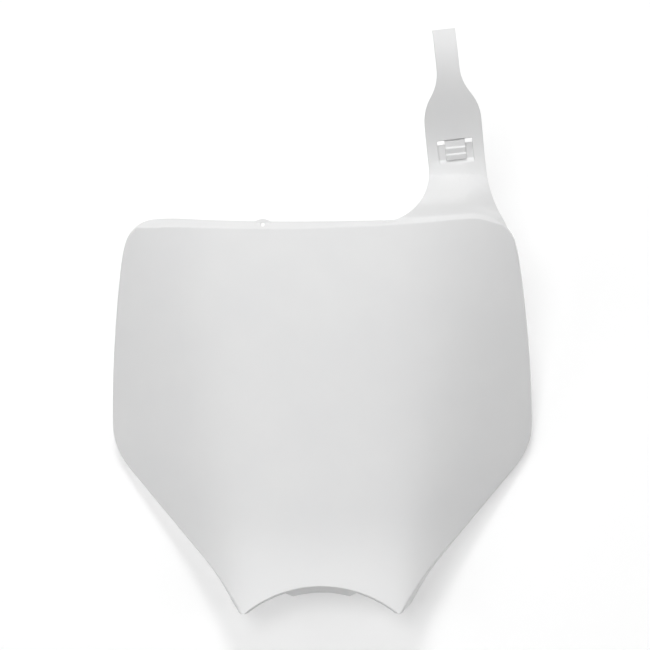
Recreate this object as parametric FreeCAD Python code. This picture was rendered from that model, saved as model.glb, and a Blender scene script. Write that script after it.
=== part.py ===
"""Front number plate of an off-road motorbike, moulded in one piece.

A curved face with wings folded back on both sides, a bevelled lip along the top with a small eyelet on it, a
rim all round, an arch between two feet at the bottom with a bolt tab behind it, and a strap that rises from the
lip on one side and carries a buckle window with a toothed tongue.

Millimetres and degrees. +X is to the viewer's right, +Y to the rear, +Z up. The shapes are drawn with the feet
at height 0 and the flat middle of the face at depth 0, and moved at the end so that the origin is the centre of
the bolt hole, on the underside of the tab.
"""

import FreeCAD
import Part
import math
import os

from FreeCAD import Vector

# Moulded walls
WALL = 2.4
RIM_DEPTH = 8.0
DRAFT_ANGLE = 7.0
RIM_ROUND = 2.0

# Outline of the face, seen from the front and measured at depth 0
FACE_HEIGHT = 233.5
TOP_WIDTH = 229.6
TOP_SAG = 3.4
TOP_CORNER_RADIUS = 21.0
SHOULDER_WIDTH = 247.4
SHOULDER_HEIGHT = 98.0
SHOULDER_RADIUS = 36.0
SIDE_BOW = 3.1
LEG_WIDTH = 137.6
LEG_HEIGHT = 31.0
FOOT_WIDTH = 98.5

# Rear edges of the legs, which lie in one slanted plane
LEG_REAR_AT_FOOT = 40.0
LEG_REAR_AT_SHOULDER = 58.0

# Soft folds between the middle panel and the wings, at four levels of the face
WAIST_LEVEL = 60.0
SHOULDER_LEVEL = 115.0
FOOT_FOLD_WIDTH = 108.0
WAIST_FOLD_WIDTH = 114.0
SHOULDER_FOLD_WIDTH = 128.0
TOP_FOLD_WIDTH = 140.0
FOOT_WING_ANGLE = 60.0
WAIST_WING_ANGLE = 47.0
SHOULDER_WING_ANGLE = 42.0
TOP_WING_ANGLE = 19.0
FOOT_FOLD_SOFTNESS = 10.0
WAIST_FOLD_SOFTNESS = 22.0
SHOULDER_FOLD_SOFTNESS = 29.0
TOP_FOLD_SOFTNESS = 16.0

# Middle panel from the side: it flares forward above the arch and leans back under the lip
FLARE_HEIGHT = 55.0
FLARE_REACH = 13.0
LEAN_HEIGHT = 85.0
LEAN_REACH = 3.4

# Bevelled lip along the top
LIP_HEIGHT = 4.4
LIP_ANGLE = 45.0

# Arch between the feet
ARCH_RADIUS = 66.0
ARCH_APEX = 16.2
ARCH_EDGE_SLOPE = 30.0

# Bolt tab behind the arch
TAB_ROOT_WIDTH = 44.5
TAB_WIDTH = 34.0
TAB_RUN = 14.0
TAB_SLOPE = 22.0
SEAT_LENGTH = 22.0
SEAT_THICKNESS = 3.0
BOLT_HOLE_DIAMETER = 6.5

# Strap, seen from the front
STRAP_ROOT_X = 87.8
STRAP_LEAN = 6.0
STRAP_LENGTH = 115.0
STRAP_WIDTH = 34.6
STRAP_THICKNESS = 2.8
STRAP_BODY_END = 60.0
TONGUE_START = 91.5
TONGUE_WIDTH = 13.7
LEFT_FLARE_RISE = 35.0
LEFT_FLARE_WIDTH = 32.0
RIGHT_FLARE_RISE = 28.0
RIGHT_FLARE_TURN = 0.6

# Strap, seen from the side: it leans back up to its turn, then forward, then back again at the tip
STRAP_TURN_RISE = 33.0
LOWER_WAVE_LENGTH = 38.0
LOWER_WAVE_DEPTH = 10.5
UPPER_WAVE_LENGTH = 68.0
UPPER_WAVE_DEPTH = 21.0
STRAP_FADE_LENGTH = 34.0

# Buckle window in the strap, with its toothed tongue
WINDOW_RISE = 43.8
WINDOW_WIDTH = 21.4
WINDOW_HEIGHT = 11.8
WINDOW_OPENING = 2.4
RECESS_DEPTH = 1.9
RECESS_RAMP = 2.6
PAWL_WIDTH = 12.3
PAWL_GAP = 0.9
TOOTH_DROP = 4.3
TOOTH_PITCH = 4.0
TOOTH_FLANK = 1.2
TOOTH_HEIGHT = 1.1
TOOTH_COUNT = 2

# Small eyelet on the lip
EYELET_X = -34.0
EYELET_WIDTH = 12.0
EYELET_RISE = 2.6
EYELET_THICKNESS = 3.0
EYELET_HOLE_DIAMETER = 2.6
EYELET_HOLE_DROP = 0.8

# Drawing aids: how far cutting shapes run past the part, and how finely the curved faces are drawn
MARGIN = 20.0
REACH = 160.0
FRONT_REACH = 40.0
COLUMNS = 39
ROWS = 18
LIP_ROWS = 6
STRAP_COLUMNS = 13
STRAP_ROWS = 24
NEAR = 0.05
TINY = 1e-3


def tangent(degrees):
    return math.tan(math.radians(degrees))


def through_levels(z, foot, waist, shoulder, top):
    """Value at height z of the cubic through the values at the four levels of the face."""
    levels = (0.0, WAIST_LEVEL, SHOULDER_LEVEL, FACE_HEIGHT)
    total = 0.0
    for here, value in zip(levels, (foot, waist, shoulder, top)):
        weight = 1.0
        for other in levels:
            if other != here:
                weight *= (z - other) / (here - other)
        total += weight * value
    return total


def middle_depth(z):
    """Depth of the middle panel: forward flare at the bottom, slight lean back at the top."""
    below = max(0.0, FLARE_HEIGHT - z) / FLARE_HEIGHT
    above = max(0.0, z - (FACE_HEIGHT - LEAN_HEIGHT)) / LEAN_HEIGHT
    return LEAN_REACH * above ** 2 - FLARE_REACH * below ** 2


def face_depth(x, z):
    """Depth of the front of the face: flat in the middle, straight in the wings, softly folded between."""
    fold = 0.5 * through_levels(
        z, FOOT_FOLD_WIDTH, WAIST_FOLD_WIDTH, SHOULDER_FOLD_WIDTH, TOP_FOLD_WIDTH
    )
    soft = through_levels(
        z, FOOT_FOLD_SOFTNESS, WAIST_FOLD_SOFTNESS, SHOULDER_FOLD_SOFTNESS, TOP_FOLD_SOFTNESS
    )
    angle = through_levels(
        z, FOOT_WING_ANGLE, WAIST_WING_ANGLE, SHOULDER_WING_ANGLE, TOP_WING_ANGLE
    )
    bend = 0.5 * (math.hypot(x - fold, soft) + math.hypot(x + fold, soft)) - math.hypot(fold, soft)
    return middle_depth(z) + tangent(angle) * bend


def rear_depth(x, z):
    """Depth at which the rim ends round the face."""
    return face_depth(x, z) + RIM_DEPTH


def inner_depth(x, z):
    """Depth of the back of the face, one wall behind its front."""
    step = 0.5
    across = (face_depth(x + step, z) - face_depth(x - step, z)) / (2 * step)
    up = (face_depth(x, z + step) - face_depth(x, z - step)) / (2 * step)
    return face_depth(x, z) + WALL * math.sqrt(1.0 + across ** 2 + up ** 2)


def even_steps(low, high, count):
    return [low + (high - low) * i / (count - 1) for i in range(count)]


def smooth_face(rows):
    """Smooth face through rows of points, each row from left to right and the rows from the bottom up."""
    surface = Part.BSplineSurface()
    surface.interpolate([list(column) for column in zip(*rows)])
    return surface.toShape()


def curved_face(depth, lowest, count):
    """Smooth face through depth(x, z), a margin larger than the outline, from the lowest height up."""
    highest = FACE_HEIGHT + TOP_SAG + MARGIN
    side = SHOULDER_WIDTH / 2 + MARGIN
    rows = []
    for z in even_steps(lowest, highest, count):
        rows.append([Vector(x, depth(x, z), z) for x in even_steps(-side, side, COLUMNS)])
    return smooth_face(rows)


def arc_from(start, direction, end):
    """Arc that leaves start along direction and ends at end, all in the plane of the outline."""
    chord = end - start
    normal = Vector(direction.z, 0, -direction.x).normalize()
    centre = start + normal * (chord.dot(chord) / (2 * chord.dot(normal)))
    halfway = (start - centre) + (end - centre)
    middle = centre + halfway.normalize() * (start - centre).Length
    return Part.Arc(start, middle, end).toShape()


def end_direction(start, direction, end):
    """Direction in which the arc of arc_from reaches its end."""
    chord = (end - start).normalize()
    unit = Vector(direction).normalize()
    return chord * (2 * chord.dot(unit)) - unit


def line(start, end):
    return Part.LineSegment(start, end).toShape()


def mirrored(shape):
    return shape.mirror(Vector(0, 0, 0), Vector(1, 0, 0))


def round_corner(prism, x, z, radius):
    """Round the edge of a prism that runs from front to rear at x, z."""
    edges = [
        edge for edge in prism.Edges
        if all(math.hypot(v.X - x, v.Z - z) < TINY for v in edge.Vertexes)
    ]
    return prism.makeFillet(radius, edges)


def face_outline():
    """Closed outline of the face at depth 0, run on straight below the feet."""
    corner = Vector(TOP_WIDTH / 2, 0, FACE_HEIGHT + TOP_SAG)
    shoulder = Vector(SHOULDER_WIDTH / 2, 0, SHOULDER_HEIGHT)
    leg = Vector(LEG_WIDTH / 2, 0, LEG_HEIGHT)
    foot = Vector(FOOT_WIDTH / 2, 0, 0)
    run = end_direction(leg, leg - shoulder, foot)
    below = foot + run * (MARGIN / abs(run.z))
    bow = (corner + shoulder) * 0.5 + Vector(SIDE_BOW, 0, 0)
    right = [
        Part.Arc(corner, bow, shoulder).toShape(),
        line(shoulder, leg),
        arc_from(leg, leg - shoulder, foot),
        line(foot, below),
    ]
    left = [mirrored(edge) for edge in right]
    top = Part.Arc(Vector(-corner.x, 0, corner.z), Vector(0, 0, FACE_HEIGHT), corner).toShape()
    bottom = line(below, Vector(-below.x, 0, below.z))
    wire = Part.Wire(Part.__sortEdges__([top, bottom] + right + left))
    plate = Part.Face(wire).extrude(Vector(0, WALL, 0))
    for side in (-1, 1):
        plate = round_corner(plate, side * corner.x, corner.z, TOP_CORNER_RADIUS)
        plate = round_corner(plate, side * shoulder.x, shoulder.z, SHOULDER_RADIUS)
    front = min(plate.Faces, key=lambda face: face.CenterOfMass.y)
    return front.OuterWire


def drafted_prism(outline, inset):
    """Solid inside the outline, drawn in by inset and widening to the rear at the draft angle."""
    rings = []
    for depth in (-FRONT_REACH, REACH):
        ring = outline.makeOffset2D(depth * tangent(DRAFT_ANGLE) - inset)
        ring.translate(Vector(0, depth, 0))
        rings.append(ring)
    return Part.makeLoft(rings, True, True)


def lip_crease(x):
    """Height of the crease between the face and its lip."""
    return FACE_HEIGHT - LIP_HEIGHT + TOP_SAG * (2 * x / TOP_WIDTH) ** 2


def lip_top(x):
    """Height of the rear edge of the lip."""
    return lip_crease(x) + LIP_HEIGHT


def lip_depth(x, z):
    """Depth of the bevelled lip, which leans back from the crease."""
    return face_depth(x, lip_crease(x)) + (z - lip_crease(x)) * tangent(LIP_ANGLE)


def inner_lip_depth(x, z):
    return lip_depth(x, z) + WALL / math.cos(math.radians(LIP_ANGLE))


def behind(depth):
    """Solid behind the curved face depth(x, z)."""
    return curved_face(depth, -MARGIN, ROWS).extrude(Vector(0, 2 * REACH, 0))


def before_lip(depth):
    """Solid before the curved face of the lip."""
    lip = curved_face(depth, FACE_HEIGHT - LIP_HEIGHT - MARGIN, LIP_ROWS)
    return lip.extrude(Vector(0, -REACH, 0))


def behind_rim():
    """Solid behind the rim: a fixed depth round the face, and down to the slanted plane at the legs."""
    low = -2 * MARGIN
    high = FACE_HEIGHT + 2 * MARGIN
    slope = (LEG_REAR_AT_SHOULDER - LEG_REAR_AT_FOOT) / SHOULDER_HEIGHT
    side = Part.makePolygon([
        Vector(-REACH, LEG_REAR_AT_FOOT + low * slope, low),
        Vector(-REACH, LEG_REAR_AT_SHOULDER, SHOULDER_HEIGHT),
        Vector(-REACH, -REACH, SHOULDER_HEIGHT),
        Vector(-REACH, -REACH, high),
        Vector(-REACH, 2 * REACH, high),
        Vector(-REACH, 2 * REACH, low),
        Vector(-REACH, LEG_REAR_AT_FOOT + low * slope, low),
    ])
    return behind(rear_depth).common(Part.Face(side).extrude(Vector(2 * REACH, 0, 0)))


def front_edges(shape):
    """Edges where the front of the face turns into the rim, above the feet."""
    chosen = []
    for edge in shape.Edges:
        middle = edge.valueAt(0.5 * (edge.FirstParameter + edge.LastParameter))
        on_face = abs(middle.y - face_depth(middle.x, middle.z)) < NEAR
        if on_face and middle.z > 0:
            chosen.append(edge)
    return chosen


def face_shell(outline):
    """The face with its lip, rim and legs, hollow at the rear, with the arch cut out between the feet."""
    outer = drafted_prism(outline, 0).common(behind(face_depth))
    outer = outer.cut(behind_rim()).cut(before_lip(lip_depth))
    outer = outer.makeFillet(RIM_ROUND, front_edges(outer))
    hollow = drafted_prism(outline, WALL).common(behind(inner_depth)).cut(before_lip(inner_lip_depth))
    return outer.cut(below_feet()).cut(arch_cut()).cut(hollow)


def box(x_range, y_range, z_range):
    size = [high - low for low, high in (x_range, y_range, z_range)]
    return Part.makeBox(*size, Vector(x_range[0], y_range[0], z_range[0]))


def along_depth(radius, x, z):
    """Long cylinder from front to rear through x, z."""
    return Part.makeCylinder(radius, 3 * REACH, Vector(x, -REACH, z), Vector(0, 1, 0))


def below_feet():
    return box((-REACH, REACH), (-REACH, 2 * REACH), (-REACH, 0))


def arch_front():
    """Depth of the front of the face at the top of the arch."""
    return face_depth(0, ARCH_APEX)


def arch_cut():
    """Cone that cuts the arch, so that its edge is about square to the flared wall."""
    slope = tangent(ARCH_EDGE_SLOPE)
    start = Vector(0, arch_front() - FRONT_REACH, ARCH_APEX - ARCH_RADIUS)
    length = FRONT_REACH + ARCH_RADIUS / slope
    return Part.makeCone(length * slope, 0, length, start, Vector(0, 1, 0))


def tab_front():
    """Depth at which the bolt tab starts, inside the wall above the arch."""
    return arch_front() + WALL / 2


def seat_height():
    """Height of the underside of the bolt seat."""
    return ARCH_APEX - TAB_RUN * tangent(TAB_SLOPE)


def seat_middle():
    """Centre of the bolt hole on the underside of the seat."""
    return Vector(0, tab_front() + TAB_RUN + SEAT_LENGTH / 2, seat_height())


def tab_neck():
    """Arched neck of the tab, which slopes down to the rear and narrows at its end."""
    root = TAB_ROOT_WIDTH / 2
    end = TAB_WIDTH / 2
    front = tab_front()
    centre = ARCH_APEX - ARCH_RADIUS
    ring = along_depth(ARCH_RADIUS + WALL, 0, centre).cut(along_depth(ARCH_RADIUS, 0, centre))
    slab = ring.common(box((-root, root), (front, front + WALL), (0, FACE_HEIGHT)))
    section = min(slab.Faces, key=lambda face: face.CenterOfMass.y)
    neck = section.extrude(Vector(0, TAB_RUN, -TAB_RUN * tangent(TAB_SLOPE)))
    rear = front + TAB_RUN
    plan = Part.makePolygon([
        Vector(-root, front - WALL, 0), Vector(-root, front, 0), Vector(-end, rear, 0),
        Vector(end, rear, 0), Vector(root, front, 0), Vector(root, front - WALL, 0),
        Vector(-root, front - WALL, 0),
    ])
    return neck.common(Part.Face(plan).extrude(Vector(0, 0, FACE_HEIGHT)))


def tab_seat():
    """Flat seat at the end of the tab, rounded at the rear, with the bolt hole."""
    half = TAB_WIDTH / 2
    middle = seat_middle()
    front = tab_front() + TAB_RUN - WALL
    rear = middle.y + SEAT_LENGTH / 2
    seat = box((-half, half), (front, rear), (middle.z, middle.z + SEAT_THICKNESS))
    corners = [
        edge for edge in seat.Edges
        if edge.BoundBox.XLength < TINY and edge.BoundBox.YLength < TINY and edge.CenterOfMass.y > middle.y
    ]
    seat = seat.makeFillet(SEAT_LENGTH / 2 - TINY, corners)
    hole = Part.makeCylinder(BOLT_HOLE_DIAMETER / 2, 2 * SEAT_THICKNESS, middle - Vector(0, 0, WALL))
    return seat.cut(hole)


def strap_root():
    """Middle of the strap where it leaves the lip."""
    return Vector(STRAP_ROOT_X, root_depth(STRAP_ROOT_X), lip_top(STRAP_ROOT_X))


def root_depth(x):
    """Depth of the rear edge of the lip, where the strap starts."""
    return lip_depth(x, lip_top(x))


def strap_wave(rise):
    """How far the strap lies before its turn, its rearmost line, at a height above the root."""
    below = rise < STRAP_TURN_RISE
    length = LOWER_WAVE_LENGTH if below else UPPER_WAVE_LENGTH
    depth = LOWER_WAVE_DEPTH if below else UPPER_WAVE_DEPTH
    return 0.5 * depth * (1.0 - math.cos(math.pi * (rise - STRAP_TURN_RISE) / length))


def strap_depth(x, z):
    """Depth of the front of the strap: curved with the lip at the root, then flat across and waved along."""
    root = strap_root()
    rise = z - root.z
    faded = min(1.0, max(0.0, rise / STRAP_FADE_LENGTH))
    across = (root_depth(x) - root.y) * 0.5 * (1.0 + math.cos(math.pi * faded))
    return root.y + across + strap_wave(0) - strap_wave(rise)


def on_strap(u, s):
    """Point of the front view from its place across and along the strap."""
    lean = math.radians(STRAP_LEAN)
    root = strap_root()
    x = root.x + u * math.cos(lean) - s * math.sin(lean)
    z = root.z + u * math.sin(lean) + s * math.cos(lean)
    return Vector(x, 0, z)


def strap_down():
    """Direction down the strap in the front view."""
    return on_strap(0, 0) - on_strap(0, 1)


def strap_side(side, flare_rise):
    """Edges of one side of the strap, from its tip down to the start of its flare."""
    half = STRAP_WIDTH / 2
    narrow = TONGUE_WIDTH / 2
    tip = on_strap(side * narrow, STRAP_LENGTH)
    tongue = on_strap(side * narrow, TONGUE_START)
    halfway = on_strap(side * (half + narrow) / 2, (TONGUE_START + STRAP_BODY_END) / 2)
    body_end = on_strap(side * half, STRAP_BODY_END)
    body_start = on_strap(side * half, flare_rise)
    return [
        line(tip, tongue),
        arc_from(tongue, strap_down(), halfway),
        arc_from(body_end, strap_down() * -1, halfway),
        line(body_end, body_start),
    ]


def left_flare():
    """Left edge of the strap from its body out to the lip, and on down into the lip."""
    start = on_strap(-STRAP_WIDTH / 2, LEFT_FLARE_RISE)
    x = STRAP_ROOT_X - STRAP_WIDTH / 2 - LEFT_FLARE_WIDTH
    end = Vector(x, 0, lip_top(x))
    return [arc_from(start, strap_down(), end), line(end, end - Vector(0, 0, 2 * LIP_HEIGHT))]


def right_flare():
    """Right edge of the strap, in two arcs to where the top corner of the face is parallel to the strap."""
    start = on_strap(STRAP_WIDTH / 2, RIGHT_FLARE_RISE)
    corner = Vector(TOP_WIDTH / 2 - TOP_CORNER_RADIUS, 0, FACE_HEIGHT + TOP_SAG - TOP_CORNER_RADIUS)
    lean = math.radians(STRAP_LEAN)
    reach = TOP_CORNER_RADIUS + root_depth(TOP_WIDTH / 2) * tangent(DRAFT_ANGLE)
    end = corner + Vector(reach * math.cos(lean), 0, reach * math.sin(lean))
    turn = start + (end - start) * RIGHT_FLARE_TURN
    return [
        arc_from(start, strap_down(), turn),
        arc_from(end, strap_down() * -1, turn),
        line(end, end - Vector(0, 0, LIP_HEIGHT)),
    ]


def strap_outline():
    left = strap_side(-1, LEFT_FLARE_RISE) + left_flare()
    right = strap_side(1, RIGHT_FLARE_RISE) + right_flare()
    tip = line(left[0].firstVertex().Point, right[0].firstVertex().Point)
    foot = line(left[-1].lastVertex().Point, right[-1].lastVertex().Point)
    return Part.Wire(Part.__sortEdges__(left + right + [tip, foot]))


def strap_sheet():
    """The strap as a bent sheet, before its window is cut."""
    outline = strap_outline()
    limits = outline.BoundBox
    across = even_steps(limits.XMin - MARGIN, limits.XMax + MARGIN, STRAP_COLUMNS)
    rows = []
    for z in even_steps(limits.ZMin - LIP_HEIGHT, limits.ZMax + LIP_HEIGHT, STRAP_ROWS):
        rows.append([Vector(x, strap_depth(x, z), z) for x in across])
    sheet = smooth_face(rows)
    sheet = sheet.extrude(Vector(0, STRAP_THICKNESS, 0))
    outline.translate(Vector(0, -REACH, 0))
    return sheet.common(Part.Face(outline).extrude(Vector(0, 2 * REACH, 0)))


def set_on_strap(shape):
    """Move a shape drawn with X across and Z along the strap to its place."""
    root = strap_root()
    shape.rotate(Vector(0, 0, 0), Vector(0, 1, 0), -STRAP_LEAN)
    shape.translate(Vector(root.x, 0, root.z))
    return shape


def front_at(s):
    """Depth of the front of the strap on its middle line."""
    place = on_strap(0, s)
    return strap_depth(place.x, place.z)


def window_recess():
    """Recess round the toothed tongue, with a ramp up to the strap at its lower end."""
    low = WINDOW_RISE - WINDOW_HEIGHT / 2
    high = WINDOW_RISE + WINDOW_HEIGHT / 2
    left = -WINDOW_WIDTH / 2
    side = Part.makePolygon([
        Vector(left, front_at(low - RECESS_RAMP), low - RECESS_RAMP),
        Vector(left, front_at(low) + RECESS_DEPTH, low),
        Vector(left, front_at(high) + RECESS_DEPTH, high),
        Vector(left, front_at(high) - MARGIN, high),
        Vector(left, front_at(low) - MARGIN, low - RECESS_RAMP),
        Vector(left, front_at(low - RECESS_RAMP), low - RECESS_RAMP),
    ])
    return set_on_strap(Part.Face(side).extrude(Vector(WINDOW_WIDTH, 0, 0)))


def corner_openings():
    """The two openings at the top of the recess, left and right of the tongue."""
    high = WINDOW_RISE + WINDOW_HEIGHT / 2
    across = (PAWL_WIDTH / 2, WINDOW_WIDTH / 2)
    right = box(across, (-REACH, REACH), (high - WINDOW_OPENING, high))
    return [set_on_strap(mirrored(right)), set_on_strap(right)]


def window_cut():
    """The recess and its corner openings, less the tongue that stands in the recess."""
    low = WINDOW_RISE - WINDOW_HEIGHT / 2
    high = WINDOW_RISE + WINDOW_HEIGHT / 2
    pawl = box((-PAWL_WIDTH / 2, PAWL_WIDTH / 2), (-REACH, REACH), (low, high - PAWL_GAP))
    return window_recess().cut(set_on_strap(pawl)).fuse(corner_openings())


def pawl_teeth():
    """Saw teeth across the front of the tongue: a short flank above, a long one below."""
    left = -PAWL_WIDTH / 2
    top = WINDOW_RISE + WINDOW_HEIGHT / 2 - TOOTH_DROP
    teeth = []
    for count in range(TOOTH_COUNT):
        high = top - count * TOOTH_PITCH
        crest = high - TOOTH_FLANK
        low = high - TOOTH_PITCH
        side = Part.makePolygon([
            Vector(left, front_at(high), high),
            Vector(left, front_at(crest) - TOOTH_HEIGHT, crest),
            Vector(left, front_at(low), low),
            Vector(left, front_at(low) + STRAP_THICKNESS / 2, low),
            Vector(left, front_at(high) + STRAP_THICKNESS / 2, high),
            Vector(left, front_at(high), high),
        ])
        teeth.append(set_on_strap(Part.Face(side).extrude(Vector(PAWL_WIDTH, 0, 0))))
    return teeth


def strap(hollow):
    """The whole strap, kept out of the hollow of the face."""
    sheet = strap_sheet().cut(window_cut())
    return sheet.fuse(pawl_teeth()).cut(hollow)


def eyelet():
    """Low arched bump that stands on the rear edge of the lip, before its hole is cut."""
    top = lip_top(EYELET_X)
    left = EYELET_X - EYELET_WIDTH / 2
    right = EYELET_X + EYELET_WIDTH / 2
    outline = Part.Wire([
        Part.Arc(Vector(left, 0, top), Vector(EYELET_X, 0, top + EYELET_RISE), Vector(right, 0, top)).toShape(),
        line(Vector(right, 0, top), Vector(right, 0, top - WALL)),
        line(Vector(right, 0, top - WALL), Vector(left, 0, top - WALL)),
        line(Vector(left, 0, top - WALL), Vector(left, 0, top)),
    ])
    bump = Part.Face(outline).extrude(Vector(0, EYELET_THICKNESS, 0))
    bump.translate(Vector(0, root_depth(EYELET_X), 0))
    return bump


def eyelet_hole():
    return along_depth(EYELET_HOLE_DIAMETER / 2, EYELET_X, lip_top(EYELET_X) - EYELET_HOLE_DROP)


def number_plate():
    outline = face_outline()
    hollow = drafted_prism(outline, WALL)
    plate = face_shell(outline)
    for piece in (tab_neck(), tab_seat(), eyelet(), strap(hollow)):
        plate = plate.fuse(piece)
    plate = plate.cut(eyelet_hole())
    plate.translate(seat_middle() * -1)
    return plate


def main():
    os.makedirs("parts", exist_ok=True)
    plate = number_plate()
    print("number_plate: valid", plate.isValid(), "solids", len(plate.Solids), "mm3", round(plate.Volume, 1))
    plate.Solids[0].exportStep("parts/number_plate.step")


main()
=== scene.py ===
# %% [markdown]
# This lesson dresses a front number plate for an off-road motorbike: one piece of white moulded
# plastic with a soft-folded face, two short legs, an arch between them and a flexible strap
# that stands up from its top edge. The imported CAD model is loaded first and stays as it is,
# because every size comes from it. Blender works in metres, in the same frame as the CAD.

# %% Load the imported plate
import bpy
import math
import numpy as np
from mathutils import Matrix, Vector
from mathutils.kdtree import KDTree


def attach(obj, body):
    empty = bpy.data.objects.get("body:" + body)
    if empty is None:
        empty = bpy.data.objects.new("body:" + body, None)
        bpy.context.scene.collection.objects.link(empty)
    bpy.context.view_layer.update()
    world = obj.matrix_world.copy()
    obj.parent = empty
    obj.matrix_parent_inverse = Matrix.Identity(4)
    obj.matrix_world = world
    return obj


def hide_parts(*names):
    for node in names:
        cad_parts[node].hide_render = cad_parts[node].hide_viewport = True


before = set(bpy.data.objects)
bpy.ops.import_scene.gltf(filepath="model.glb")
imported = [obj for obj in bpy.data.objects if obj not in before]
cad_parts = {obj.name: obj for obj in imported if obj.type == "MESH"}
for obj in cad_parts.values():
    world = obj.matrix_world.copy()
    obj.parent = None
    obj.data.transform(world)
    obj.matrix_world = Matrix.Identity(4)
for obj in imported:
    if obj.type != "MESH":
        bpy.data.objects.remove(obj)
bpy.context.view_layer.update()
plate_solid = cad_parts["number_plate"]

# %% [markdown]
# The solid comes out of the CAD as loose triangles, so light would show every facet. The skin is a
# copy of it whose doubled corners are merged, so that it can be cut, pressed and shaded as one
# sheet. Merging by distance is enough, because the doubled corners lie in the same place.

# %% Copy the solid and weld its corners
bpy.ops.object.select_all(action="DESELECT")
plate_skin = bpy.data.objects.new("plate_skin", plate_solid.data.copy())
bpy.context.scene.collection.objects.link(plate_skin)
plate_skin.select_set(True)
bpy.context.view_layer.objects.active = plate_skin
WELD = 0.000002
bpy.ops.object.mode_set(mode="EDIT")
bpy.ops.mesh.select_mode(type="EDGE")
bpy.ops.mesh.select_all(action="SELECT")
bpy.ops.mesh.remove_doubles(threshold=WELD)
bpy.ops.mesh.select_all(action="DESELECT")
bpy.ops.object.mode_set(mode="OBJECT")
print("welded skin:", len(plate_skin.data.vertices), "corners")

# %% [markdown]
# The lip is low on the left and climbs a few millimetres towards the strap. Behind it the strap
# first stands upright and then leans back, and its outer edge turns away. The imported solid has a
# level lip and a plainer bend. The change is only a few millimetres of depth, so it is pressed
# into the skin: a patch is cut into a fine grid, and each of its corners then moves along the
# depth, by the same amount on both sides of the wall. The front outline and the wall stay as they
# are. Straight cuts are the plain way to get corners where the solid has long, bare facets.

# %% Pick out the patch
PATCH_HALF_WIDTH = 0.116
PATCH_LOW = 0.2175
PATCH_HIGH = 0.2570
ACROSS = (1, 0, 0)
UPWARDS = (0, 0, 1)


def cut_shown(place, way):
    """Cuts every facet that isn't hidden along one plane."""
    bpy.ops.mesh.select_all(action="SELECT")
    bpy.ops.mesh.bisect(plane_co=place, plane_no=way)


bpy.ops.object.mode_set(mode="EDIT")
bpy.ops.mesh.select_mode(type="FACE")
cut_shown((0, 0, PATCH_LOW), UPWARDS)
cut_shown((0, 0, PATCH_HIGH), UPWARDS)
bpy.ops.mesh.select_all(action="DESELECT")
bpy.ops.object.mode_set(mode="OBJECT")
for face in plate_skin.data.polygons:
    middle = face.center
    face.select = abs(middle.x) < PATCH_HALF_WIDTH and PATCH_LOW < middle.z < PATCH_HIGH
print("patch:", sum(face.select for face in plate_skin.data.polygons), "facets")

# %% Cut the patch into a grid
ROOT_LEFT = 0.026
LIP_TOP = 0.2310
LIP_COLUMN = 0.0025
ROOT_COLUMN = 0.0015
LIP_ROW = 0.0006
STRAP_ROW = 0.0020
bpy.ops.object.mode_set(mode="EDIT")
bpy.ops.mesh.hide(unselected=True)
lip_columns = np.arange(-PATCH_HALF_WIDTH, ROOT_LEFT, LIP_COLUMN)
root_columns = np.arange(ROOT_LEFT, PATCH_HALF_WIDTH, ROOT_COLUMN)
for x in np.concatenate([lip_columns, root_columns]):
    cut_shown((x, 0, 0), ACROSS)
lip_rows = np.arange(PATCH_LOW, LIP_TOP, LIP_ROW)[1:]
strap_rows = np.arange(LIP_TOP, PATCH_HIGH, STRAP_ROW)
for z in np.concatenate([lip_rows, strap_rows]):
    cut_shown((0, 0, z), UPWARDS)
bpy.ops.mesh.reveal(select=False)
bpy.ops.mesh.select_all(action="SELECT")
bpy.ops.mesh.quads_convert_to_tris()
bpy.ops.mesh.select_all(action="DESELECT")
bpy.ops.object.mode_set(mode="OBJECT")
print("skin with the grid:", len(plate_skin.data.polygons), "facets")

# %% [markdown]
# Before anything is pressed, the solid is measured. Rays from the front find how deep the face lies
# just under the lip, column by column, and how deep the strap lies above it. One smooth sheet is
# then fitted through the strap's depths, because a single ray near an edge would hit the edge's
# rounding and leave a dent.

# %% Measure the face under the lip
LIP_FOOT = 0.21856
LIP_SAG = 0.0034
TOP_HALF_WIDTH = 0.1148
FACE_HALF_WIDTH = 0.112
FACE_COLUMN = 0.001
FACE_LOW = -0.006
FACE_HIGH = -0.001


def lip_foot(x):
    """Height of the solid's crease between face and lip."""
    return LIP_FOOT + LIP_SAG * (x / TOP_HALF_WIDTH) ** 2


def front_depth(x, rise):
    """Depth of the solid's front, so far above the crease, or no number beside the plate."""
    hit, spot, _, _ = plate_solid.ray_cast((x, -1, lip_foot(x) + rise), (0, 1, 0))
    return spot.y if hit else math.nan


columns = np.arange(-FACE_HALF_WIDTH, FACE_HALF_WIDTH + FACE_COLUMN / 2, FACE_COLUMN)
low_depth = np.array([front_depth(x, FACE_LOW) for x in columns])
high_depth = np.array([front_depth(x, FACE_HIGH) for x in columns])
met = np.isfinite(low_depth + high_depth)
columns = columns[met]
face_slope = ((high_depth - low_depth) / (FACE_HIGH - FACE_LOW))[met]
face_depth = high_depth[met] - FACE_HIGH * face_slope
print("face measured in", len(columns), "columns")

# %% Fit a smooth sheet to the strap
STRAP_LEFT = 0.052
STRAP_RIGHT = 0.110
STRAP_LOW = 0.005
LEAN_TOP = 0.034
SPOT_COLUMN = 0.004
SPOT_ROW = 0.002
EDGE_MARGIN = 0.003
STRAP_MIDDLE = (0.080, 0.020)
STRAP_SPAN = (0.030, 0.015)


def powers(x, rise):
    """Terms of the sheet: powers of the place across the strap and of the place up it."""
    s = (x - STRAP_MIDDLE[0]) / STRAP_SPAN[0]
    t = (rise - STRAP_MIDDLE[1]) / STRAP_SPAN[1]
    return np.stack([s ** i * t ** j for i in range(3) for j in range(4)], -1)


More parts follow.
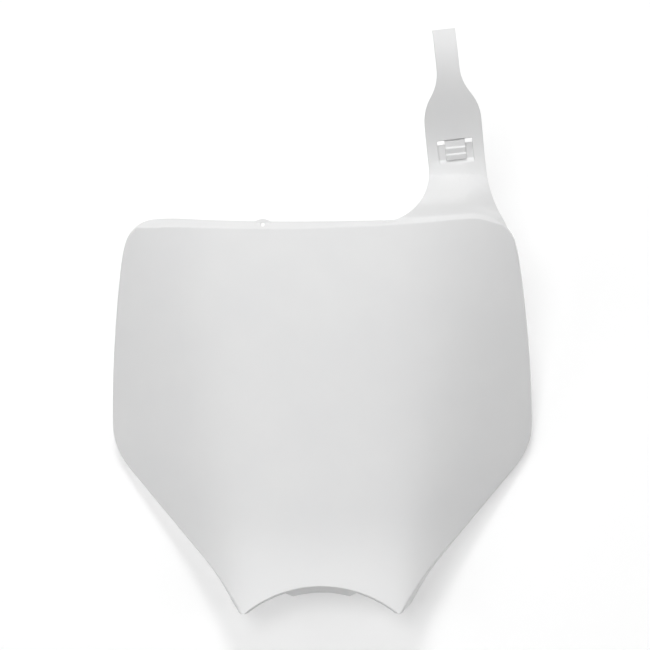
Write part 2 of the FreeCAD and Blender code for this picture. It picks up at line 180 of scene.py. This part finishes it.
spots = []
for x in np.arange(STRAP_LEFT, STRAP_RIGHT, SPOT_COLUMN):
    for rise in np.arange(STRAP_LOW, LEAN_TOP, SPOT_ROW):
        depth = front_depth(x, rise)
        beside_left = front_depth(x - EDGE_MARGIN, rise)
        beside_right = front_depth(x + EDGE_MARGIN, rise)
        if math.isfinite(depth + beside_left + beside_right):
            spots.append((x, rise, depth - np.interp(x, columns, face_depth)))
spots = np.array(spots)
terms = powers(spots[:, 0], spots[:, 1])
strap_sheet = np.linalg.lstsq(terms, spots[:, 2], rcond=None)[0]
misfit = abs(terms @ strap_sheet - spots[:, 2]).max()
print("strap measured at", len(spots), "spots, sheet within", round(1000 * float(misfit), 2), "mm")

# %% [markdown]
# The wanted form is written down as depths behind the face. The face runs on up to a climbing line,
# the lip slopes back from there at 45 degrees, and above it the strap stands nearly upright until
# it eases into the solid's own bend. Each corner of the patch moves by what the wanted depth and
# the solid's depth differ. Towards the corners of the plate the change fades out.

# %% Climb of the lip
CLIMB_AT = (-0.104, -0.088, -0.040, -0.010, 0.017, 0.038, 0.060, 0.077, 0.092, 0.098, 0.104, 0.110)
CLIMB = (0, 0.0011, 0.0011, 0.0013, 0.0021, 0.0025, 0.0034, 0.0042, 0.0050, 0.0043, 0.0024, 0.0005)
CLIMB_REACH = 0.124
CLIMB_COLUMN = 0.0005
CLIMB_SOFTNESS = 13
climb_columns = np.arange(-CLIMB_REACH, CLIMB_REACH, CLIMB_COLUMN)
angular_climb = np.interp(climb_columns, CLIMB_AT, CLIMB, right=0)
soft_climb = np.convolve(angular_climb, np.full(CLIMB_SOFTNESS, 1 / CLIMB_SOFTNESS), mode="same")
print("lip climbs by up to", round(1000 * float(soft_climb.max()), 2), "mm")

# %% Wanted form of the lip and the strap's root
LIP_HEIGHT = 0.0044
NARROW_LIP = 0.0030
WIDE_LIP = 0.0120
LIP_NARROWS = (0.020, 0.056)
STRAP_BEGINS = (0.042, 0.052)
EDGE_ROUND = 0.0007
UPRIGHT_LEAN = 0.04
UPRIGHT_HEIGHT = 0.004
EDGE_BACK = 0.0026
EDGE_TURNS = (0.086, 0.107)
EDGE_RISE = 0.006
LEFT_FADE = (-0.114, -0.104)
RIGHT_FADE = (0.106, 0.115)


def ease(value, start, end):
    """Goes softly from 0 at start to 1 at end."""
    t = np.clip((value - start) / (end - start), 0, 1)
    return t * t * (3 - 2 * t)


def bend(value):
    """Level before 0 and a slope of one after it, with a rounded corner between."""
    t = np.clip((value + EDGE_ROUND) / (2 * EDGE_ROUND), 0, 1)
    return np.where(value > EDGE_ROUND, value, 2 * EDGE_ROUND * (t ** 3 - t ** 4 / 2))


def pressed(x, rise, solid_lip):
    """How far a corner of the patch moves back (or, below zero, forwards)."""
    slope = np.interp(x, columns, face_slope)
    strap = np.minimum(rise, powers(x, rise) @ strap_sheet)
    strap = rise + (strap - rise) * ease(x, *STRAP_BEGINS)
    solid = np.where(rise < LIP_HEIGHT, solid_lip, strap)
    climb = np.interp(x, climb_columns, soft_climb)
    band_top = climb + WIDE_LIP + (NARROW_LIP - WIDE_LIP) * ease(x, *LIP_NARROWS)
    root = slope * np.minimum(rise, climb) + bend(rise - climb) - bend(rise - band_top)
    root = root + UPRIGHT_LEAN * np.maximum(0, rise - band_top)
    root = root + EDGE_BACK * ease(x, *EDGE_TURNS) * ease(rise, band_top, band_top + EDGE_RISE)
    wanted = root + (strap - root) * ease(rise, band_top + UPRIGHT_HEIGHT, LEAN_TOP)
    return (wanted - solid) * ease(x, *LEFT_FADE) * (1 - ease(x, *RIGHT_FADE))


print("the lip narrows to", 1000 * NARROW_LIP, "mm in front of the strap")

# %% Press the patch
BELOW_LIP = 0.0010
CREASE_ROUND = 0.0004


def lip_now(x, rise):
    """Depth of the solid's lip behind the face's own line, with its rounded crease."""
    plain = rise if rise > 0 else rise * np.interp(x, columns, face_slope)
    found = front_depth(x, rise) - np.interp(x, columns, face_depth)
    if math.isnan(found):
        return plain
    return plain + min(max(found - plain, -CREASE_ROUND), CREASE_ROUND)


places = np.array([v.co for v in plate_skin.data.vertices])
rises = places[:, 2] - lip_foot(places[:, 0])
in_width = abs(places[:, 0]) < PATCH_HALF_WIDTH
inside = np.flatnonzero(in_width & (rises > -BELOW_LIP) & (rises < LEAN_TOP))
lips = np.array([lip_now(places[i, 0], rises[i]) for i in inside])
moves = pressed(places[inside, 0], rises[inside], lips)
places[inside, 1] += moves
plate_skin.data.vertices.foreach_set("co", places.ravel())
plate_skin.data.update()
print("pressed forwards by up to", round(-1000 * float(moves.min()), 2), "mm")

# %% [markdown]
# Moulded plastic is smooth between its real edges. Shading by angle does that without more faces:
# facets that meet at a small angle are lit as one surface, and sharper meetings stay edges.

# %% Shade the skin smooth between its real edges
EDGE_ANGLE = math.radians(35)
bpy.ops.object.shade_smooth_by_angle(angle=EDGE_ANGLE)
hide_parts("number_plate")
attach(plate_skin, "root")
print("skin:", len(plate_skin.data.polygons), "faces")

# %% [markdown]
# The facets differ a lot in size: long ones on the face meet slivers on the rounded edges, and
# plain smooth shading drags the edge's tilt far into the face. So each corner of the skin gets the
# mean direction of the surface close round it, read from points spread evenly over the facets.
# Only facets that face nearly the same way count, so that folds and edges stay where they are.

# %% Spread sample points over the facets
skin = plate_skin.data
corner_at = np.array([v.co for v in skin.vertices])
facets = np.array([p.vertices[:] for p in skin.polygons])
a, b, c = (corner_at[facets[:, i]] for i in range(3))
across = np.cross(b - a, c - a)
areas = np.linalg.norm(across, axis=1) / 2
facing = across / np.maximum(2 * areas, 1e-15)[:, None]
SAMPLE_STEP = 0.004
longest = np.linalg.norm(np.stack([b - a, c - b, a - c]), axis=2).max(axis=0)
steps = np.maximum(areas / SAMPLE_STEP ** 2, longest / SAMPLE_STEP)
counts = np.maximum(1, np.ceil(steps)).astype(int)
owner = np.repeat(np.arange(len(facets)), counts)
turn = np.arange(len(owner)) - np.repeat(np.cumsum(counts) - counts, counts) + 0.5
EVEN_SPREAD = (0.7548776662, 0.5698402910)
u = (turn * EVEN_SPREAD[0]) % 1
v = (turn * EVEN_SPREAD[1]) % 1
over = u + v > 1
u[over], v[over] = 1 - u[over], 1 - v[over]
points = a[owner] + u[:, None] * (b - a)[owner] + v[:, None] * (c - a)[owner]
share = (areas / counts)[owner]
print("sample points:", len(points))

# %% Mean direction round each corner
NEARBY = 0.010
SOFT_REACH = 0.005
SOFT_TURN = math.radians(8)
near = KDTree(len(points))
for number, point in enumerate(points):
    near.insert(point, number)
near.balance()
around = [[] for _ in skin.vertices]
for face in skin.polygons:
    for vertex in face.vertices:
        around[vertex].append(face.index)
beside = {}
for face in skin.polygons:
    for key in face.edge_keys:
        beside.setdefault(key, []).append(face.index)


def fans(vertex):
    """The facets round a corner, in groups that no sharp edge divides."""
    group = {index: index for index in around[vertex]}
    for first in around[vertex]:
        for key in skin.polygons[first].edge_keys:
            if vertex in key:
                for second in beside[key]:
                    if facing[first] @ facing[second] > math.cos(EDGE_ANGLE):
                        old, new = group[second], group[first]
                        group = {index: new if kept == old else kept for index, kept in group.items()}
    return group


def mean_direction(place, guide):
    """Mean direction of the facets near a place that face nearly the same way as the guide."""
    found = np.array([number for _, number, _ in near.find_range(place, NEARBY)], int)
    ways = facing[owner[found]]
    apart = np.arccos(np.clip(ways @ guide, -1, 1)) / SOFT_TURN
    away = np.linalg.norm(points[found] - np.array(place), axis=1) / SOFT_REACH
    weight = share[found] * np.exp(-apart ** 2 - away ** 2)
    total = (ways * weight[:, None]).sum(0) + guide * 1e-12
    return total / np.linalg.norm(total)


directions = {}
for vertex in range(len(skin.vertices)):
    group = fans(vertex)
    for name in set(group.values()):
        members = [index for index, kept in group.items() if kept == name]
        guide = (facing[members] * areas[members][:, None]).sum(0)
        guide /= max(np.linalg.norm(guide), 1e-15)
        direction = mean_direction(skin.vertices[vertex].co, guide)
        for index in members:
            directions[index, vertex] = direction
skin.normals_split_custom_set([
    directions[face.index, vertex] for face in skin.polygons for vertex in face.vertices])
print("directions set on", len(directions), "facet corners")

# %% [markdown]
# The plate is moulded in white polypropylene. Its surface is satin, not glossy: a very fine grain
# from the mould breaks up the reflections. A flat white would look like paper, so three noises on
# Object coordinates work at three sizes: a faint cloudiness in the white, uneven sheen, and grain.

# %% White moulded plastic
plastic = bpy.data.materials.new("plate_plastic_white")
plastic.use_nodes = True
nodes = plastic.node_tree.nodes
links = plastic.node_tree.links
shader = nodes["Principled BSDF"]
shader.inputs["IOR"].default_value = 1.49
place = nodes.new("ShaderNodeTexCoord")


def noise_on_plate(name, per_metre, detail):
    """A noise that stays on the plate, with so many blobs to the metre."""
    noise = nodes.new("ShaderNodeTexNoise")
    noise.name = name
    noise.inputs["Scale"].default_value = per_metre
    noise.inputs["Detail"].default_value = detail
    links.new(place.outputs["Object"], noise.inputs["Vector"])
    return noise


def spread(noise, low, high):
    """Turns a noise into values between low and high."""
    span = nodes.new("ShaderNodeMapRange")
    span.inputs["From Min"].default_value = 0.3
    span.inputs["From Max"].default_value = 0.7
    span.inputs["To Min"].default_value = low
    span.inputs["To Max"].default_value = high
    links.new(noise.outputs["Fac"], span.inputs["Value"])
    return span.outputs["Result"]


cloudiness = noise_on_plate("cloudiness", 28, 3)
whites = nodes.new("ShaderNodeValToRGB")
whites.color_ramp.elements[0].position = 0.3
whites.color_ramp.elements[0].color = (0.795, 0.797, 0.800, 1)
whites.color_ramp.elements[1].position = 0.7
whites.color_ramp.elements[1].color = (0.815, 0.816, 0.815, 1)
links.new(cloudiness.outputs["Fac"], whites.inputs["Fac"])
links.new(whites.outputs["Color"], shader.inputs["Base Color"])
sheen = noise_on_plate("sheen", 60, 4)
links.new(spread(sheen, 0.50, 0.60), shader.inputs["Roughness"])

# %% [markdown]
# The mould's grain is too fine to model, so it is a bump a tenth of a millimetre high. A bevel node
# feeds it, which rounds the look of every edge a little, as on any moulding.

# %% Mould grain
grain = noise_on_plate("grain", 1400, 2)
relief = nodes.new("ShaderNodeBump")
relief.inputs["Strength"].default_value = 0.12
relief.inputs["Distance"].default_value = 0.0001
links.new(grain.outputs["Fac"], relief.inputs["Height"])
soft_edges = nodes.new("ShaderNodeBevel")
soft_edges.samples = 8
soft_edges.inputs["Radius"].default_value = 0.0007
links.new(soft_edges.outputs["Normal"], relief.inputs["Normal"])
links.new(relief.outputs["Normal"], shader.inputs["Normal"])
plate_skin.data.materials.clear()
plate_skin.data.materials.append(plastic)
print("plastic:", len(nodes), "nodes")

# %% [markdown]
# The plate is seen as it lies on a white table, resting on its two feet and its two shoulders, so
# the table leans a little against the upright plate. It is placed from the skin's own corners. It
# glows a little for the camera, so that it is white where light reaches it and still takes the
# shadow below the arch, and it lets the lamps behind it through, so the back can be looked at.

# %% Find where the plate rests
corners = [v.co.copy() for v in plate_skin.data.vertices]
lowest = min(c.z for c in corners)
shoulder = max(corners, key=lambda c: c.y)
foot = max((c for c in corners if c.z < lowest + 0.002), key=lambda c: c.y)
table_lean = math.atan2(shoulder.y - foot.y, shoulder.z - foot.z)
print("rests on", foot, shoulder, "lean", math.degrees(table_lean))

# %% White table behind the plate
TABLE_SIZE = 6.0
TABLE_GAP = 0.0005
bpy.ops.object.select_all(action="DESELECT")
bpy.ops.mesh.primitive_plane_add(size=TABLE_SIZE)
table = bpy.context.active_object
table.name = "table"
table.rotation_euler = (math.pi / 2 - table_lean, 0, 0)
table.location = (0, shoulder.y + TABLE_GAP, shoulder.z)
bpy.ops.object.transform_apply(location=True, rotation=True, scale=True)
print("table leans", round(math.degrees(table_lean), 2), "degrees")

# %% White that keeps a shadow
def either(tree, first, second):
    """The larger of two signals, so that either one switches."""
    pick = tree.nodes.new("ShaderNodeMath")
    pick.operation = "MAXIMUM"
    tree.links.new(first, pick.inputs[0])
    tree.links.new(second, pick.inputs[1])
    return pick.outputs["Value"]


def seen_rays(tree, ray):
    """One where the camera looks, straight, by a reflection or through something clear."""
    mirrored = either(tree, ray.outputs["Is Glossy Ray"], ray.outputs["Is Transmission Ray"])
    return either(tree, ray.outputs["Is Camera Ray"], mirrored)


def white_sheet(name, paper_share, glow_share):
    """Paper that glows for the camera, and that is clear from behind and for the lamps."""
    sheet = bpy.data.materials.new(name)
    sheet.use_nodes = True
    tree = sheet.node_tree
    tree.nodes.remove(tree.nodes["Principled BSDF"])
    paper = tree.nodes.new("ShaderNodeBsdfDiffuse")
    paper.inputs["Color"].default_value = (paper_share, paper_share, paper_share, 1)
    ray = tree.nodes.new("ShaderNodeLightPath")
    side = tree.nodes.new("ShaderNodeNewGeometry")
    glow = tree.nodes.new("ShaderNodeEmission")
    glow_level = tree.nodes.new("ShaderNodeMath")
    glow_level.operation = "MULTIPLY"
    glow_level.inputs[1].default_value = glow_share
    tree.links.new(seen_rays(tree, ray), glow_level.inputs[0])
    tree.links.new(glow_level.outputs["Value"], glow.inputs["Strength"])
    both = tree.nodes.new("ShaderNodeAddShader")
    tree.links.new(paper.outputs["BSDF"], both.inputs[0])
    tree.links.new(glow.outputs["Emission"], both.inputs[1])
    clear = tree.nodes.new("ShaderNodeBsdfTransparent")
    one_way = tree.nodes.new("ShaderNodeMixShader")
    let_through = either(tree, side.outputs["Backfacing"], ray.outputs["Is Shadow Ray"])
    tree.links.new(let_through, one_way.inputs["Fac"])
    tree.links.new(both.outputs["Shader"], one_way.inputs[1])
    tree.links.new(clear.outputs["BSDF"], one_way.inputs[2])
    tree.links.new(one_way.outputs["Shader"], tree.nodes["Material Output"].inputs["Surface"])
    print(name, "paper", paper_share, "glow", glow_share)
    return sheet


table.data.materials.append(white_sheet("table_white", paper_share=0.75, glow_share=0.30))

# %% [markdown]
# A second, level floor lies well below the plate. The front camera never sees it, but from the
# back and the sides it gives the plate a ground.

# %% Level floor
FLOOR_DROP = 0.45
bpy.ops.object.select_all(action="DESELECT")
bpy.ops.mesh.primitive_plane_add(size=TABLE_SIZE, location=(0, 0, lowest - FLOOR_DROP))
floor = bpy.context.active_object
floor.name = "floor"
bpy.ops.object.transform_apply(location=True, rotation=True, scale=True)
floor.data.materials.append(white_sheet("floor_white", paper_share=0.35, glow_share=0.80))
print("floor", FLOOR_DROP, "m below the feet")

# %% [markdown]
# The light is that of a small product table: a main lamp high in front, which brightens the
# bevelled lip and the flared foot, a weaker one beside the camera, a broad, faint one on each side
# for the folded wings, and one behind for the back. Five lamps shape a white thing better than an
# even room, which would leave it flat. A lamp's power is worked out from how bright it should make
# a white sheet that faces it, so that number reads as a share of white.

# %% Lamps
LOOK_AT = Vector((0.0029, 0.0053, lowest + 0.1722))


def soft_lamp(name, direction, distance, size, share_of_white):
    """A square lamp, turned to the plate, that lights a facing white sheet to that share."""
    bpy.ops.object.select_all(action="DESELECT")
    bpy.ops.object.light_add(type="AREA", location=LOOK_AT + Vector(direction).normalized() * distance)
    lamp = bpy.context.active_object
    lamp.name = name
    lamp.rotation_euler = (LOOK_AT - lamp.location).to_track_quat("-Z", "Y").to_euler()
    lamp.data.size = size
    lamp.data.energy = share_of_white * (math.pi * distance) ** 2
    print(name, "at", lamp.location, "power", round(lamp.data.energy, 2))
    return lamp


soft_lamp("top_lamp", (-0.05, -0.54, 0.84), distance=3.0, size=0.8, share_of_white=0.36)
soft_lamp("front_lamp", (-0.20, -0.95, 0.24), distance=2.8, size=0.9, share_of_white=0.225)
soft_lamp("left_lamp", (-1.0, -0.95, 0.1), distance=2.8, size=1.6, share_of_white=0.118)
soft_lamp("right_lamp", (1.0, -0.95, 0.1), distance=2.8, size=1.6, share_of_white=0.110)
soft_lamp("back_lamp", (0.30, 0.92, 0.25), distance=2.4, size=1.2, share_of_white=0.36)

# %% [markdown]
# The room round the table is pale, so that no side of the plate falls into black. It gives less
# light than it shows: to the camera and in reflections it is white, and for lighting it is dimmer.

# %% Pale room
ROOM_LIGHT = 0.35
room = bpy.data.worlds.new("pale_room")
bpy.context.scene.world = room
room.use_nodes = True
w_nodes = room.node_tree.nodes
w_links = room.node_tree.links
air = w_nodes["Background"]
air.inputs["Color"].default_value = (1, 1, 1, 1)
w_ray = w_nodes.new("ShaderNodeLightPath")
level = w_nodes.new("ShaderNodeMapRange")
level.inputs["To Min"].default_value = ROOM_LIGHT
level.inputs["To Max"].default_value = 1.0
w_links.new(seen_rays(room.node_tree, w_ray), level.inputs["Value"])
w_links.new(level.outputs["Result"], air.inputs["Strength"])
bpy.context.scene.view_settings.view_transform = "Standard"
print("room light", ROOM_LIGHT)

# %% [markdown]
# The camera looks straight at the face from about a metre and a third, a hair from the right, and
# is turned a third of a degree, because the plate lies that much askew. Its field is set so
# that 0.39 m of the face fills the square picture.

# %% Camera
VIEW_DISTANCE = 1.35
FACE_AHEAD = 0.025
VIEW_WIDTH = 0.390
AZIMUTH = math.radians(1.0)
ROLL = math.radians(-0.35)
towards = Vector((math.sin(AZIMUTH), -math.cos(AZIMUTH), 0))
bpy.ops.object.camera_add(location=LOOK_AT + towards * VIEW_DISTANCE)
camera = bpy.context.active_object
camera.rotation_euler = (-towards).to_track_quat("-Z", "Y").to_euler()
camera.rotation_euler.rotate_axis("Z", ROLL)
camera.data.sensor_fit = "HORIZONTAL"
camera.data.angle = 2 * math.atan(0.5 * VIEW_WIDTH / (VIEW_DISTANCE - FACE_AHEAD))
bpy.context.scene.camera = camera
print("field", round(math.degrees(camera.data.angle), 2), "degrees")
